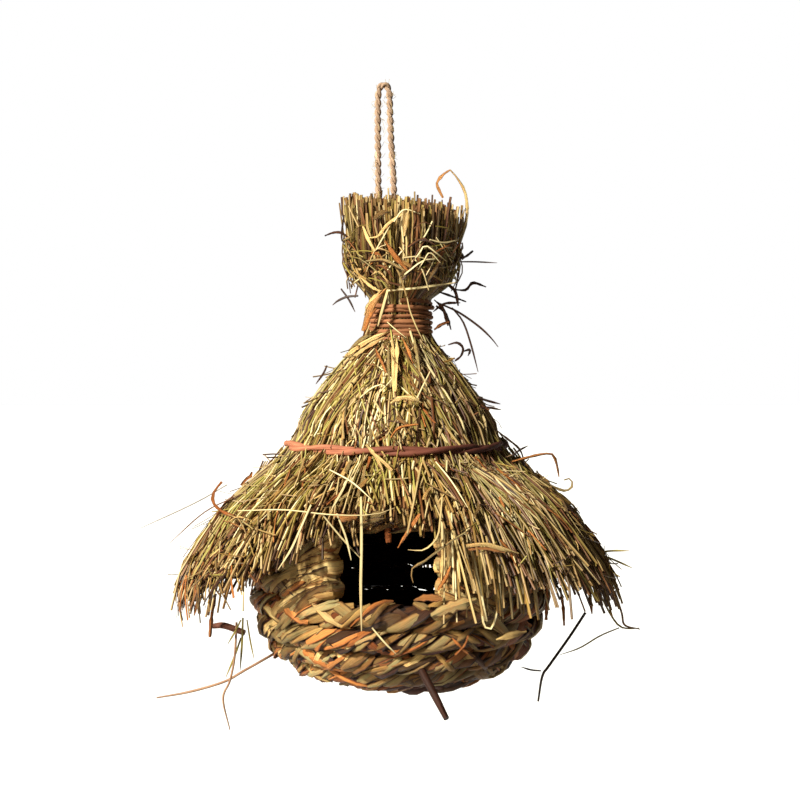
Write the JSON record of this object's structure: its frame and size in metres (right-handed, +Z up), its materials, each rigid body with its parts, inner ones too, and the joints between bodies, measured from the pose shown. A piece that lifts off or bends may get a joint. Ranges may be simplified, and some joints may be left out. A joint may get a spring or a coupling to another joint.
{
  "type": "hanging woven bird nest",
  "caption": "Hanging nest: a ball of twisted leaf rope with a square front entrance under a thatched straw cone, bound at the neck and hung from a cord loop.",
  "frame": {"origin": "inner top of the hanging cord loop", "axes": "+Z up along the hanging nest, -Y out of the entrance, +X to the right as the entrance is faced"},
  "size_m": [0.2488, 0.2104, 0.3194],
  "materials": {
    "jute": "matte two-ply jute cord",
    "straw": "dry olive and golden straw, cut ends",
    "thatch": "dry yellow-green and golden straw",
    "vine": "brown-red twisted vine, satin",
    "leaf_rope": "twisted dry leaf rope, khaki, golden and rust",
    "bark": "dark red-brown bark",
    "dry_stem": "dry tan stem"
  },
  "bodies": {
    "root": {"hanging_cord": "jute", "straw_tuft": "straw", "neck_binding": "vine", "roof_hoop_strand_a": "vine", "roof_hoop_strand_b": "vine", "woven_base": "leaf_rope", "dome_crown": "leaf_rope", "jamb_wrap_left": "leaf_rope", "jamb_wrap_right": "leaf_rope", "perch_stick": "bark", "rim_peg": "bark", "eave_stick": "bark", "eave_twig": "bark", "stray_wisp_left": "dry_stem", "stray_stem_left": "dry_stem", "hanging_stem_left": "dry_stem", "stray_stem_right": "dry_stem", "woven_row_01": "leaf_rope", "woven_row_02": "leaf_rope", "woven_row_03": "leaf_rope", "woven_row_04": "leaf_rope", "woven_row_05": "leaf_rope", "woven_row_06": "leaf_rope", "woven_row_07": "leaf_rope", "woven_row_08": "leaf_rope", "woven_row_09": "leaf_rope", "woven_row_10": "leaf_rope", "woven_row_11": "leaf_rope", "woven_row_12": "leaf_rope", "woven_row_13": "leaf_rope", "woven_row_14": "leaf_rope", "woven_row_15": "leaf_rope", "thatch_bundle_01": "thatch", "thatch_bundle_02": "thatch", "thatch_bundle_03": "thatch", "thatch_bundle_04": "thatch", "thatch_bundle_05": "thatch", "thatch_bundle_06": "thatch", "thatch_bundle_07": "thatch", "thatch_bundle_08": "thatch", "thatch_bundle_09": "thatch", "thatch_bundle_10": "thatch", "thatch_bundle_11": "thatch", "thatch_bundle_12": "thatch"}
  },
  "joints": []
}
